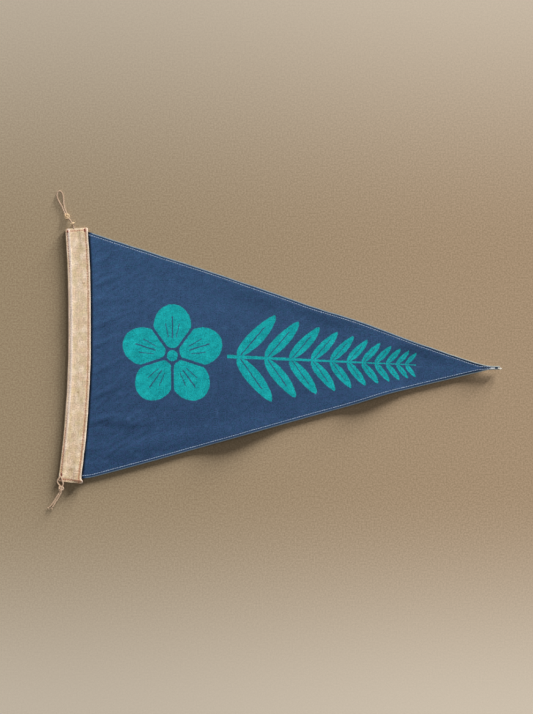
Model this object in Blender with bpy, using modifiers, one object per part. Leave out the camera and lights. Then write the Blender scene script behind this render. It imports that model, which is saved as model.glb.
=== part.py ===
# A canvas pennant flag that lies face up, in metres. +X runs to the tip, +Y to the head of the hoist,
# +Z is up off the surface, and the origin is the middle of the cloth's footprint, on the surface.

import math
from collections import namedtuple

import bmesh
import bpy
from mathutils import Vector

MM = 0.001

# Cloth
CLOTH = 1.1 * MM  # thickness of the canvas
GAP = 0.3 * MM  # air between two layers that lie on each other
LAYER = CLOTH + GAP  # step from one layer to the next
HEM = 8.0 * MM  # width of the cloth turned to the back
HEM_FADE = 40.0 * MM  # how far in from the hem the cloth comes down to the surface
TAIL_SLIT = 0.6 * MM  # air between the two hems where they meet in the tail

# Heading
HEADING_WIDTH = 37.3 * MM
HEADING_FOOT = -208.9 * MM
HEADING_HEAD = 210.4 * MM
SEAM = 10.0 * MM  # how far the field reaches into the heading
SEAM_GAP = 0.45 * MM  # air over the field inside the heading
SEAM_FADE = 20.0 * MM  # how far from the heading the field comes down
END_PINCH = 6.0 * MM  # length of each sewn end
CORNER_RADIUS = 2.0 * MM

# Twine
TWINE = 2.0 * MM
TWINE_SIDES = 2  # bevel resolution, for eight sides
TWINE_STEP = 2.5 * TWINE
KNOT_POINTS = 36

# Mesh steps
FIELD_COLUMNS = 46
FIELD_ROWS = 24
FOLD_STEPS = 4
HEADING_STEPS = 18

# The field's outline, in millimetres: its two slanting edges, read at each x
Outline = namedtuple("Outline", "x upper lower")
OUTLINE = (
    Outline(-342, 205.4, -204.0),
    Outline(-316, 204.6, -202.2),
    Outline(-300, 199.7, -198.8),
    Outline(-200, 167.1, -171.8),
    Outline(-120, 141.4, -149.2),
    Outline(0, 100.5, -115.3),
    Outline(60, 79.6, -98.6),
    Outline(125, 59.6, -80.5),
    Outline(175, 41.4, -64.9),
    Outline(225, 22.6, -52.6),
    Outline(300, -3.1, -34.6),
    Outline(330, -12.9, -27.6),
    Outline(347, -16.5, -23.5),
    Outline(364.7, -17.0, -23.0),
)

# The heading's middle line, in millimetres, from its foot to its head
Middle = namedtuple("Middle", "y x")
HEADING_LINE = (
    Middle(-212, -346.4),
    Middle(-120, -336.4),
    Middle(-30, -330.6),
    Middle(60, -329.5),
    Middle(150, -330.9),
    Middle(212, -334.7),
)

# One section of the heading, in millimetres: where the middle of the cloth runs, across from the folded edge
Section = namedtuple("Section", "across height")
HEADING_BACK = (
    Section(37.3, 0.55),
    Section(27.0, 0.55),
    Section(14.0, 0.55),
    Section(4.0, 0.55),
    Section(1.7, 0.68),
    Section(0.8, 1.0),
    Section(0.55, 1.45),
    Section(0.8, 1.95),
)
HEADING_FRONT = (
    Section(1.6, 2.35),
    Section(3.4, 2.5),
    Section(5.2, 3.45),
    Section(7.0, 3.75),
    Section(9.0, 3.45),
    Section(12.0, 3.05),
    Section(18.0, 3.15),
    Section(23.0, 3.3),
    Section(26.0, 3.4),
    Section(33.2, 3.4),
    Section(35.6, 3.5),
    Section(37.3, 3.45),
)

# Soft folds of the field, in millimetres and degrees: a long low swell each, or a trough where it is negative
Fold = namedtuple("Fold", "x y angle length width height")
FOLDS = (
    Fold(-150, 30, 62, 120, 42, 3.2),  # broad swell across the hoist half
    Fold(-213, -146, 12, 95, 15, 3.4),  # long fold up from the lower corner
    Fold(-256, -108, -4, 48, 12, 2.6),  # short fold above it
    Fold(-232, -128, 16, 60, 9, -1.6),  # trough between these two
    Fold(-224, 92, 88, 50, 9, 1.6),  # old crease beside the heading
    Fold(-60, -128, 15, 62, 20, 5.0),  # lower hem lifted
    Fold(158, -66, 15, 52, 15, 4.4),
    Fold(-30, 104, -18, 58, 20, 3.8),  # upper hem lifted
    Fold(84, 70, -18, 46, 17, 4.2),
    Fold(240, 14, -18, 56, 14, 3.6),
    Fold(38, -40, 38, 70, 24, 3.0),  # low swells in the tip half
    Fold(170, 6, 20, 60, 16, 2.2),
    Fold(358, -20, 10, 46, 30, 3.6),  # tail turned up
)
FOLD_FLOOR = 0.5  # swells lower than this lie flat on the surface
FOLD_SOFTNESS = 0.8

# The twine, in millimetres. Each route is a list of points through which a smooth curve runs.
TIE_TOP_STEM = (
    (-338.8, 210.8, 2.4),
    (-339.3, 214.0, 2.9),
    (-340.7, 218.0, 3.35),
    (-343.4, 222.0, 3.0),
    (-347.4, 226.8, 2.4),
)
TIE_TOP_LOOP = (
    (-353.6, 234.7, 2.2),
    (-355.5, 238.9, 1.5),
    (-357.3, 243.3, 1.2),
    (-360.0, 248.8, 1.1),
    (-363.3, 254.4, 1.1),
    (-366.0, 260.4, 1.1),
    (-367.0, 265.8, 1.1),
    (-365.6, 270.2, 1.1),
    (-362.4, 271.9, 1.1),
    (-358.9, 269.8, 1.1),
    (-356.8, 264.5, 1.1),
    (-356.0, 257.7, 1.1),
    (-355.6, 251.1, 1.1),
    (-354.4, 244.4, 1.2),
    (-352.6, 239.4, 1.5),
    (-351.2, 235.6, 2.2),
)
TIE_LOW_OUTER = (
    (-361.4, -199.6, 4.6),
    (-363.6, -202.6, 4.5),
    (-365.6, -205.6, 4.0),
    (-366.0, -208.6, 2.9),
    (-364.3, -211.6, 2.1),
    (-361.9, -214.6, 2.2),
)
TIE_LOW_INNER = (
    (-359.0, -201.6, 5.4),
    (-357.9, -205.0, 4.9),
    (-356.9, -208.4, 4.1),
    (-356.5, -211.6, 3.0),
    (-357.8, -215.2, 2.3),
)
TIE_LOW_LEFT = (
    (-362.0, -224.4, 2.1),
    (-364.7, -228.8, 1.3),
    (-368.6, -235.2, 1.1),
    (-372.3, -241.0, 1.1),
    (-375.9, -246.2, 1.1),
    (-379.9, -250.5, 1.1),
)
TIE_LOW_RIGHT = (
    (-359.6, -224.6, 2.1),
    (-362.3, -230.2, 1.3),
    (-366.1, -236.8, 1.1),
    (-369.4, -241.4, 1.1),
    (-372.0, -246.0, 1.1),
    (-375.1, -251.1, 1.1),
)
BEAD_AT = (-340.7, 218.0, 3.35)
BEAD_ALONG = (-2.0, 4.0, 0.1)
BEAD_RADIUS = 2.35 * MM

# A knot is a closed trefoil of the twine, flattened along its own short side
Knot = namedtuple("Knot", "x y z turn size squeeze")
KNOT_TOP = Knot(-350.2, 230.3, 2.4, 116, 1.32, 0.86)
KNOT_LOW = Knot(-360.0, -219.4, 2.4, -118, 1.32, 0.86)

NAVY = (0.030, 0.062, 0.135)
ECRU = (0.62, 0.50, 0.37)
TWINE_TAN = (0.50, 0.38, 0.25)


def smooth_step(share):
    """0 up to 0, 1 from 1, and a soft rise between."""
    share = min(max(share, 0.0), 1.0)
    return share * share * (3 - 2 * share)


def read_smoothly(at, places, values):
    """The value at a place on a smooth curve through the stations."""
    last = len(places) - 1
    i = max(k for k in range(last) if places[k] <= at or k == 0)

    def slope(k):
        before, after = max(k - 1, 0), min(k + 1, last)
        return (values[after] - values[before]) / (places[after] - places[before])

    span = places[i + 1] - places[i]
    t = (at - places[i]) / span
    rise = values[i + 1] - values[i]
    start, end = slope(i) * span, slope(i + 1) * span
    return values[i] + t * (start + t * (3 * rise - 2 * start - end + t * (start + end - 2 * rise)))


def upper_edge(x):
    return MM * read_smoothly(x / MM, [row.x for row in OUTLINE], [row.upper for row in OUTLINE])


def lower_edge(x):
    return MM * read_smoothly(x / MM, [row.x for row in OUTLINE], [row.lower for row in OUTLINE])


def heading_middle(y):
    return MM * read_smoothly(y / MM, [row.y for row in HEADING_LINE], [row.x for row in HEADING_LINE])


def heading_across(y):
    """The unit vector across the heading at y, from its folded edge towards the field."""
    step = 1 * MM
    lean = (heading_middle(y + step) - heading_middle(y - step)) / (2 * step)
    return Vector((1, -lean, 0)).normalized()


def heading_edge(y):
    """Where the heading's edge over the field lies."""
    return heading_middle(y) + HEADING_WIDTH / 2


def fold_lift(x, y):
    """How far the folds lift the cloth off the surface."""
    total = -FOLD_FLOOR
    for fold in FOLDS:
        turn = math.radians(fold.angle)
        east, north = x / MM - fold.x, y / MM - fold.y
        along = (east * math.cos(turn) + north * math.sin(turn)) / fold.length
        across = (north * math.cos(turn) - east * math.sin(turn)) / fold.width
        total += fold.height * math.exp(-along * along - across * across)
    if total <= 0:
        return 0.0
    if total < FOLD_SOFTNESS:
        return MM * total * total / (2 * FOLD_SOFTNESS)
    return MM * (total - FOLD_SOFTNESS / 2)


def cloth_height(x, y):
    """The height of the middle of the field's cloth."""
    inset = min(upper_edge(x) - y, y - lower_edge(x))
    over_hem = 1 - smooth_step((inset - HEM) / HEM_FADE)
    in_heading = 1 - smooth_step((x - heading_edge(y)) / SEAM_FADE)
    return CLOTH / 2 + LAYER * (over_hem + in_heading) + fold_lift(x, y) * (1 - in_heading)


def hem_profile(half_width):
    """The turned edge, from the face round to the back: how far in from the edge, and how far down."""
    radius = LAYER / 2
    middle = CLOTH / 2 + radius
    turn = [math.pi * k / FOLD_STEPS for k in range(FOLD_STEPS + 1)]
    rows = [(middle - radius * math.sin(a), radius - radius * math.cos(a)) for a in turn]
    inner = min(HEM, half_width - TAIL_SLIT / 2)
    rows.append(((middle + inner) / 2, LAYER))
    rows.append((inner, LAYER))
    return rows


def field_point(share, row):
    """A point of the middle of the field's cloth. share runs from hoist to tip, row from hem to hem."""
    hem_rows = FOLD_STEPS + 3
    hoist = heading_middle(0.0) + HEADING_WIDTH / 2 - SEAM
    tip = OUTLINE[-1].x * MM - CLOTH / 2
    x = hoist + (tip - hoist) * share

    def place(x, row):
        upper, lower = upper_edge(x), lower_edge(x)
        profile = hem_profile((upper - lower) / 2)
        if row < hem_rows:
            inset, drop = profile[hem_rows - 1 - row]
            return lower + inset, drop
        row -= hem_rows
        if row >= FIELD_ROWS - 1:
            inset, drop = profile[row - FIELD_ROWS + 1]
            return upper - inset, drop
        even = 2 * (row + 1) / FIELD_ROWS - 1
        spread = 0.6 * even + 0.4 * math.sin(even * math.pi / 2)
        inset = profile[0][0]
        return lower + inset + (upper - lower - 2 * inset) * (spread + 1) / 2, 0.0

    y, drop = place(x, row)
    x += (heading_middle(y) - heading_middle(0.0)) * (1 - share) ** 3
    y, drop = place(x, row)
    return Vector((x, y, cloth_height(x, y) - drop))


def add_object(name, mesh, collection, material):
    part = bpy.data.objects.new(name, mesh)
    part.data.materials.append(material)
    collection.objects.link(part)
    return part


def grid_object(name, columns, rows, point, collection, material):
    """A sheet of cloth: a grid bent so that its middle runs through point(column, row), then thickened."""
    sheet = bmesh.new()
    bmesh.ops.create_grid(sheet, x_segments=columns, y_segments=rows, size=1.0)
    for vertex in sheet.verts:
        column = round((vertex.co.x + 1) / 2 * columns)
        row = round((vertex.co.y + 1) / 2 * rows)
        vertex.co = point(column, row)
    mesh = bpy.data.meshes.new(name)
    sheet.to_mesh(mesh)
    sheet.free()
    mesh.shade_smooth()
    part = add_object(name, mesh, collection, material)
    thicken = part.modifiers.new("cloth", "SOLIDIFY")
    thicken.thickness = CLOTH
    thicken.offset = 0
    thicken.use_even_offset = True
    return part


def make_field(collection, material):
    rows = FIELD_ROWS - 2 + 2 * (FOLD_STEPS + 3)

    def point(column, row):
        share = column / FIELD_COLUMNS
        # closer columns towards the hoist and the tip, where the shape changes most
        share = 0.72 * share + 0.28 * (1 - math.cos(math.pi * share)) / 2
        return field_point(share, row)

    return grid_object("field", FIELD_COLUMNS, rows, point, collection, material)


def heading_stations():
    """Places along the heading: close together at the sewn ends and wide apart between."""
    ends = [0.0, 0.5, 1.2, 2.2, 3.6, 5.0, 6.5, 9.0, 13.0, 19.0, 27.0]
    length = HEADING_HEAD - HEADING_FOOT
    first, last = ends[-1] * MM, length - ends[-1] * MM
    between = [first + (last - first) * k / HEADING_STEPS for k in range(1, HEADING_STEPS)]
    return [e * MM for e in ends] + between + [length - e * MM for e in reversed(ends)]


def make_heading(collection, material):
    stations = heading_stations()
    sections = [(s.across * MM, s.height * MM, False) for s in HEADING_BACK]
    sections += [(s.across * MM, s.height * MM, True) for s in HEADING_FRONT]
    length = HEADING_HEAD - HEADING_FOOT
    sewn_height = CLOTH / 2 + LAYER

    def point(column, row):
        along = stations[column]
        across, height, front = sections[row]
        end = min(along, length - along)
        inset = 0.0
        if end < CORNER_RADIUS:
            inset = CORNER_RADIUS - math.sqrt(CORNER_RADIUS**2 - (CORNER_RADIUS - end) ** 2)
        y = HEADING_FOOT + along
        middle = Vector((heading_middle(y), y, 0))
        side = across - HEADING_WIDTH / 2
        side *= 1 - 2 * inset / HEADING_WIDTH
        place = middle + heading_across(y) * side
        if front:
            over_field = smooth_step((across - (HEADING_WIDTH - SEAM - 5 * MM)) / (4 * MM))
            under = cloth_height(place.x, place.y) + CLOTH + SEAM_GAP
            height += max(0.0, under - height) * over_field
            if height > sewn_height:
                height = sewn_height + (height - sewn_height) * smooth_step(end / END_PINCH)
        place.z = height
        return place

    return grid_object("heading", len(stations) - 1, len(sections) - 1, point, collection, material)


def curve_through(route):
    """Points spaced evenly on a smooth curve through the route."""
    points = [Vector(p) * MM for p in route]
    padded = [2 * points[0] - points[1]] + points + [2 * points[-1] - points[-2]]
    fine = []
    for a, b, c, d in zip(padded, padded[1:], padded[2:], padded[3:]):
        for k in range(10):
            t = k / 10
            fine.append(
                0.5 * (2 * b + (c - a) * t + (2 * a - 5 * b + 4 * c - d) * t**2 + (3 * b - a - 3 * c + d) * t**3)
            )
    fine.append(points[-1])
    lengths = [0.0]
    for a, b in zip(fine, fine[1:]):
        lengths.append(lengths[-1] + (b - a).length)
    count = max(4, round(lengths[-1] / TWINE_STEP * 1.5) + 1)
    even = []
    for k in range(count):
        wanted = lengths[-1] * k / (count - 1)
        i = min(max(n for n in range(len(fine)) if lengths[n] <= wanted + 1e-12), len(fine) - 2)
        span = lengths[i + 1] - lengths[i]
        even.append(fine[i].lerp(fine[i + 1], (wanted - lengths[i]) / span))
    return even


def make_tube(name, points, closed, collection, material):
    curve = bpy.data.curves.new(name, "CURVE")
    curve.dimensions = "3D"
    curve.bevel_depth = TWINE / 2
    curve.bevel_resolution = TWINE_SIDES
    curve.use_fill_caps = not closed
    spline = curve.splines.new("POLY")
    spline.points.add(len(points) - 1)
    for slot, point in zip(spline.points, points):
        slot.co = (*point, 1)
    spline.use_cyclic_u = closed
    return add_object(name, curve, collection, material)


def make_twine(name, route, collection, material):
    return make_tube(name, curve_through(route), False, collection, material)


def make_knot(name, knot, collection, material):
    """A trefoil that lies flat, turned so that its long side follows the twine."""
    turn = math.radians(knot.turn)
    points = []
    for k in range(KNOT_POINTS):
        a = 2 * math.pi * k / KNOT_POINTS
        reach = knot.size * (2 + math.cos(3 * a))
        long, short = reach * math.cos(2 * a), reach * math.sin(2 * a) * knot.squeeze
        points.append(
            MM
            * Vector(
                (
                    knot.x + long * math.cos(turn) - short * math.sin(turn),
                    knot.y + long * math.sin(turn) + short * math.cos(turn),
                    knot.z + knot.size * math.sin(3 * a),
                )
            )
        )
    return make_tube(name, points, True, collection, material)


def make_bead(name, collection, material):
    """A single tight turn of twine round the stem."""
    axis = Vector(BEAD_ALONG).normalized()
    one = axis.cross(Vector((0, 0, 1))).normalized()
    two = axis.cross(one)
    points = []
    for k in range(KNOT_POINTS // 2):
        a = 4 * math.pi * k / KNOT_POINTS
        points.append(Vector(BEAD_AT) * MM + BEAD_RADIUS * (one * math.cos(a) + two * math.sin(a)))
    return make_tube(name, points, True, collection, material)


def make_material(name, colour, roughness):
    material = bpy.data.materials.new(name)
    material.use_nodes = True
    shader = material.node_tree.nodes["Principled BSDF"]
    shader.inputs["Base Color"].default_value = (*colour, 1)
    shader.inputs["Roughness"].default_value = roughness
    shader.inputs["Metallic"].default_value = 0.0
    material.diffuse_color = (*colour, 1)
    return material


def main():
    for old in list(bpy.data.objects):
        bpy.data.objects.remove(old)
    collection = bpy.data.collections.new("pennant_flag")
    bpy.context.scene.collection.children.link(collection)

    make_field(collection, make_material("navy_canvas", NAVY, 0.85))
    make_heading(collection, make_material("natural_canvas", ECRU, 0.9))

    routes = {
        "tie_top_stem": TIE_TOP_STEM,
        "tie_top_loop": TIE_TOP_LOOP,
        "tie_low_outer": TIE_LOW_OUTER,
        "tie_low_inner": TIE_LOW_INNER,
        "tie_low_left": TIE_LOW_LEFT,
        "tie_low_right": TIE_LOW_RIGHT,
    }
    for name, route in routes.items():
        make_twine(name, route, collection, make_material(name + "_twine", TWINE_TAN, 0.9))
    make_knot("tie_top_knot", KNOT_TOP, collection, make_material("top_knot_twine", TWINE_TAN, 0.9))
    make_knot("tie_low_knot", KNOT_LOW, collection, make_material("low_knot_twine", TWINE_TAN, 0.9))
    make_bead("tie_top_bead", collection, make_material("bead_twine", TWINE_TAN, 0.9))


main()
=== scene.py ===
# A canvas pennant flag that lies face up on a pale floor: its cloth, sewing, print, twine ties and light.
# Sizes are in millimetres, and become metres where a mesh is made. +X runs to the tip, +Y to the head.

import math

import bmesh
import bpy
import numpy as np
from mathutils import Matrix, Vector
from mathutils.bvhtree import BVHTree


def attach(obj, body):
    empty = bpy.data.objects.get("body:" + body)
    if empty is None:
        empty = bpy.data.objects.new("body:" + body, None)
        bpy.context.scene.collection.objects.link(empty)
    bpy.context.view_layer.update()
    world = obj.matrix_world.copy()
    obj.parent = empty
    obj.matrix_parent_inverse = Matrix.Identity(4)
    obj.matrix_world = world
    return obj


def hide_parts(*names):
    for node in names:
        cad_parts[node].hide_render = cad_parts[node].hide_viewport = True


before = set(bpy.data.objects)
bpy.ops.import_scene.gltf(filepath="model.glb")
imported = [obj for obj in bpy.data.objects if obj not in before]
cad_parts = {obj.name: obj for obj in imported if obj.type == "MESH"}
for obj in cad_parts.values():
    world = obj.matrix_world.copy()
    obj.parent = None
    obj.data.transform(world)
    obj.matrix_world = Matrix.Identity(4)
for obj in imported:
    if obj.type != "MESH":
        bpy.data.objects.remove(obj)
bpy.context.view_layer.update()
mm = 0.001


def smoothRise(share):
    share = np.clip(share, 0.0, 1.0)
    return share * share * (3 - 2 * share)


def hill(distance, width):
    return np.exp(-((distance / width) ** 2))


def readSmoothly(at, places, values):
    # a smooth curve through the stations
    at, places, values = (np.asarray(a, float) for a in (at, places, values))
    slopes = np.empty_like(values)
    slopes[1:-1] = (values[2:] - values[:-2]) / (places[2:] - places[:-2])
    slopes[0] = (values[1] - values[0]) / (places[1] - places[0])
    slopes[-1] = (values[-1] - values[-2]) / (places[-1] - places[-2])
    i = np.clip(np.searchsorted(places, at, side="right") - 1, 0, len(places) - 2)
    span = places[i + 1] - places[i]
    t = (at - places[i]) / span
    rise = values[i + 1] - values[i]
    start, end = slopes[i] * span, slopes[i + 1] * span
    return values[i] + t * (start + t * (3 * rise - 2 * start - end + t * (start + end - 2 * rise)))


def softNoise(x, y, size, seed):
    # gentle lumps between -1 and 1, about one size across
    side = 128
    lattice = np.random.default_rng(seed).uniform(-1, 1, (side, side))
    u, v = x / size + side / 2 + 0.3, y / size + side / 2 + 0.7
    i, j = np.floor(u).astype(int), np.floor(v).astype(int)
    s, t = smoothRise(u - i), smoothRise(v - j)
    near = lattice[i % side, j % side] * (1 - s) + lattice[(i + 1) % side, j % side] * s
    far = lattice[i % side, (j + 1) % side] * (1 - s) + lattice[(i + 1) % side, (j + 1) % side] * s
    return near * (1 - t) + far * t


def linear(*parts):
    # a colour as it looks on screen, 0 to 255, in the renderer's own scale
    shares = (part / 255 for part in parts)
    return tuple(s / 12.92 if s < 0.043 else ((s + 0.055) / 1.055) ** 2.4 for s in shares)


def gridMesh(name, points, flat, attributes, closeAlong=False, closeAcross=False):
    # a mesh of quads over rows and columns of points
    rows, columns = points.shape[:2]
    index = np.arange(rows * columns).reshape(rows, columns)
    if closeAlong:
        index = np.vstack([index, index[:1]])
    if closeAcross:
        index = np.hstack([index, index[:, :1]])
    sides = (index[:-1, :-1], index[:-1, 1:], index[1:, 1:], index[1:, :-1])
    quads = np.stack(sides, axis=-1).reshape(-1, 4)
    mesh = bpy.data.meshes.new(name)
    mesh.from_pydata((points.reshape(-1, 3) * mm).tolist(), [], quads.tolist())
    corners = np.empty(len(mesh.loops), dtype=np.int32)
    mesh.loops.foreach_get("vertex_index", corners)
    layer = mesh.uv_layers.new(name="flat")
    layer.data.foreach_set("uv", (flat.reshape(-1, 2)[corners] * mm).ravel().astype(np.float32))
    for label, values in attributes.items():
        slot = mesh.attributes.new(label, "FLOAT", "POINT")
        slot.data.foreach_set("value", values.ravel().astype(np.float32))
    mesh.shade_smooth()
    return mesh


def addPiece(name, mesh, *materials):
    piece = bpy.data.objects.new(name, mesh)
    bpy.context.scene.collection.objects.link(piece)
    for material in materials:
        piece.data.materials.append(material)
    return piece


def makePlain(piece):
    # keeps what the modifiers make, and takes the modifiers off
    bpy.context.view_layer.update()
    finished = bpy.data.meshes.new_from_object(piece.evaluated_get(bpy.context.evaluated_depsgraph_get()))
    finished.name = piece.name
    piece.modifiers.clear()
    piece.data = finished
    return piece


def finishPiece(piece, slot, *nodes):
    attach(piece, "root")
    if nodes:
        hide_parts(*nodes)


shot = {
    "lens": 85.0,
    "sensorHeight": 36.0,
    "frameHeight": 1178.0,  # how much of the floor shows from top to bottom
    "x": -20.7,
    "y": -2.1,
    "focusHeight": 4.0,
}

camera = bpy.data.objects.new("camera", bpy.data.cameras.new("camera"))
bpy.context.scene.collection.objects.link(camera)
camera.data.lens = shot["lens"]
camera.data.sensor_fit = "VERTICAL"
camera.data.sensor_height = shot["sensorHeight"]
camera.data.clip_end = 20
distance = shot["frameHeight"] * shot["lens"] / shot["sensorHeight"]
camera.location = (shot["x"] * mm, shot["y"] * mm, (distance + shot["focusHeight"]) * mm)
bpy.context.scene.camera = camera
print("camera: straight down, from", round(distance / 1000, 2), "m")


def addNode(tree, kind, inputs, **settings):
    # each input is a plain value or another node's output
    node = tree.nodes.new(kind)
    for label, value in settings.items():
        setattr(node, label, value)
    for slot, value in inputs.items():
        if isinstance(value, bpy.types.NodeSocket):
            tree.links.new(value, node.inputs[slot])
        else:
            node.inputs[slot].default_value = value
    return node


class Channel:
    # a number that differs over the surface, with plain sums between such numbers
    def __init__(self, tree, socket):
        self.tree = tree
        self.socket = socket

    def sum(self, operation, *others):
        values = [v.socket if isinstance(v, Channel) else v for v in (self, *others)]
        node = addNode(self.tree, "ShaderNodeMath", dict(enumerate(values)), operation=operation)
        return Channel(self.tree, node.outputs[0])

    def __add__(self, other):
        return self.sum("ADD", other)

    def __sub__(self, other):
        return self.sum("SUBTRACT", other)

    def __mul__(self, other):
        return self.sum("MULTIPLY", other)

    def __truediv__(self, other):
        return self.sum("DIVIDE", other)

    def size(self):
        return self.sum("ABSOLUTE")

    def least(self, other):
        return self.sum("MINIMUM", other)

    def most(self, other):
        return self.sum("MAXIMUM", other)

    def rest(self):
        return self * -1.0 + 1.0

    def soften(self, low, high):
        # 0 up to low, 1 from high, and a soft rise between
        span = {"Value": self.socket, "From Min": low, "From Max": high}
        node = addNode(self.tree, "ShaderNodeMapRange", span, interpolation_type="SMOOTHSTEP")
        return Channel(self.tree, node.outputs["Result"])

    def fade(self, low, high):
        # 1 up to low, 0 from high
        return self.soften(low, high).rest()

    def scale(self, low, high):
        return self * (high - low) + low

    def swing(self, reach):
        return self.scale(-reach, reach)


def combine(tree, *channels):
    sockets = {k: channel.socket for k, channel in enumerate(channels)}
    return addNode(tree, "ShaderNodeCombineXYZ", sockets).outputs[0]


def splitVector(tree, socket, factor=1000.0):
    # the parts of a vector, in millimetres
    node = addNode(tree, "ShaderNodeSeparateXYZ", {0: socket})
    return [Channel(tree, part) * factor for part in node.outputs]


def objectPlace(tree, location=(0, 0), turn=0.0):
    # object coordinates in millimetres from a chosen point, along a chosen direction
    inputs = {
        "Vector": addNode(tree, "ShaderNodeTexCoord", {}).outputs["Object"],
        "Location": (location[0] * mm, location[1] * mm, 0),
        "Rotation": (0, 0, math.radians(turn)),
    }
    return splitVector(tree, addNode(tree, "ShaderNodeMapping", inputs, vector_type="TEXTURE").outputs[0])


def flatPlace(tree):
    # the piece's own flat coordinates in millimetres, along its threads
    node = addNode(tree, "ShaderNodeUVMap", {}, uv_map="flat")
    return splitVector(tree, node.outputs[0])[:2]


def readAttribute(tree, name):
    node = addNode(tree, "ShaderNodeAttribute", {}, attribute_name=name)
    return Channel(tree, node.outputs["Fac"])


def noiseOver(tree, x, y, detail=2.0, seed=0.0, z=None):
    # noise whose lumps are one unit of x and y across
    third = z if z is not None else x * 0.0
    inputs = {"Scale": 1.0, "Detail": detail, "Vector": combine(tree, x, y, third + seed)}
    return Channel(tree, addNode(tree, "ShaderNodeTexNoise", inputs).outputs["Fac"])


def mixColours(tree, share, first, second):
    node = addNode(tree, "ShaderNodeMix", {"Factor": share.socket}, data_type="RGBA")
    slots = [s for s in node.inputs if s.type == "RGBA"]
    for slot, colour in zip(slots, (first, second)):
        if isinstance(colour, tuple):
            slot.default_value = (*colour, 1)
        else:
            tree.links.new(colour, slot)
    return next(s for s in node.outputs if s.type == "RGBA")


def shadeColour(tree, colour, factor):
    # a colour made lighter or darker by a channel
    inputs = {0: colour, "Scale": factor.socket}
    return addNode(tree, "ShaderNodeVectorMath", inputs, operation="SCALE").outputs[0]


def newMaterial(name, sheen):
    material = bpy.data.materials.new(name)
    material.use_nodes = True
    shader = material.node_tree.nodes["Principled BSDF"]
    shader.inputs["Specular IOR Level"].default_value = 0.15
    shader.inputs["Sheen Weight"].default_value = sheen
    shader.inputs["Sheen Roughness"].default_value = 0.6
    return material, material.node_tree, shader


def finishMaterial(tree, shader, colour, roughness, relief, depth):
    # depth is how far a relief of 1 stands up, in millimetres
    inputs = {"Strength": 1.0, "Distance": depth * mm, "Height": relief.socket}
    bump = addNode(tree, "ShaderNodeBump", inputs)
    tree.links.new(colour, shader.inputs["Base Color"])
    tree.links.new(roughness.socket, shader.inputs["Roughness"])
    tree.links.new(bump.outputs[0], shader.inputs["Normal"])


def plainWeave(u, v, pitch):
    # threads one pitch wide that go over and under each other
    a, b = u / pitch, v / pitch
    over = (a.sum("FLOOR") + b.sum("FLOOR")).sum("PINGPONG", 1.0)
    roundA = (a.sum("FRACT") * math.pi).sum("SINE")
    roundB = (b.sum("FRACT") * math.pi).sum("SINE")
    warp = roundA * roundB.scale(0.6, 1.0)
    weft = roundB * roundA.scale(0.6, 1.0)
    return weft + (warp - weft) * over


def canvasThreads(tree, cloth):
    # the weave's relief, with threads that wander, and worn streaks along its two directions
    u, v = flatPlace(tree)
    bendSize, bendReach = cloth["bend"]
    long, thin = cloth["streaks"]
    bend = noiseOver(tree, u / bendSize, v / bendSize, 2.0, 3.1) * bendReach
    warp = noiseOver(tree, u / long, v / thin, 2.0, 1.0)
    weft = noiseOver(tree, u / thin, v / long, 2.0, 2.0)
    return plainWeave(u + bend, v + bend, cloth["threadPitch"]), warp, weft


heading = {
    "width": 37.3,
    "foot": -208.9,
    "head": 210.4,
    "seamGap": 0.45,
    "endPinch": 6.0,
    "cornerRadius": 2.2,
    "leftStitch": 3.4,
    "rightStitch": 33.2,
    "endStitch": 4.2,
    "rowStep": 2.0,
    "sectionPoints": 78,
}

navyCanvas = {
    "light": linear(49, 77, 112),
    "dark": linear(37, 60, 91),
    "faded": linear(60, 87, 120),
    "violet": linear(54, 68, 108),
    "green": linear(34, 74, 96),
    "hemShadeDepth": (0.74, 0.86),  # how deep the painted shade on the turned edge is above and below
    "rim": linear(128, 142, 148),  # bare threads along the fold, with a painted highlight on them
    "tail": (190.0, 335.0),  # from x, to x: the hems darken and their rim turns pale
    "tailDark": 0.46,
    "tailRim": linear(178, 178, 164),
    "creaseAngle": 32.0,
    # how strong the painted crease shading and wear are
    "creaseShadeAndWear": 0.34,
    "seamShadeDepth": 0.10,  # how dark the painted shade in the gap beside the heading is
    "grain": 0.75,
    "mottle": 0.24,
    "threadPitch": 0.55,
    "threadDepth": 0.10,
    "streaks": (70.0, 1.3),  # length, width
    "bend": (9.0, 0.5),  # how the threads wander: size, reach
}

printDesign = {
    "ink": linear(20, 160, 162),
    "inkDark": linear(12, 148, 153),
    "edge": 0.55,
    "flowerX": -176.0,
    "flowerY": 0.0,
    "petals": 5,
    "petalMiddle": 49.0,
    "petalLong": 36.0,
    "petalWide": 31.0,
    "petalGap": 2.3,
    "throat": 9.0,
    "frondEnd": (318.0, -19.5),  # the point that the frond narrows towards
    "frondTurn": -2.6,
    "frondFrom": 398.0,
    "frondTo": 104.0,
    "leafStep": 1.135,
    "leafLength": 0.235,
    "leafWidth": 0.034,
    "leafAngle": 52.0,
}


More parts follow.
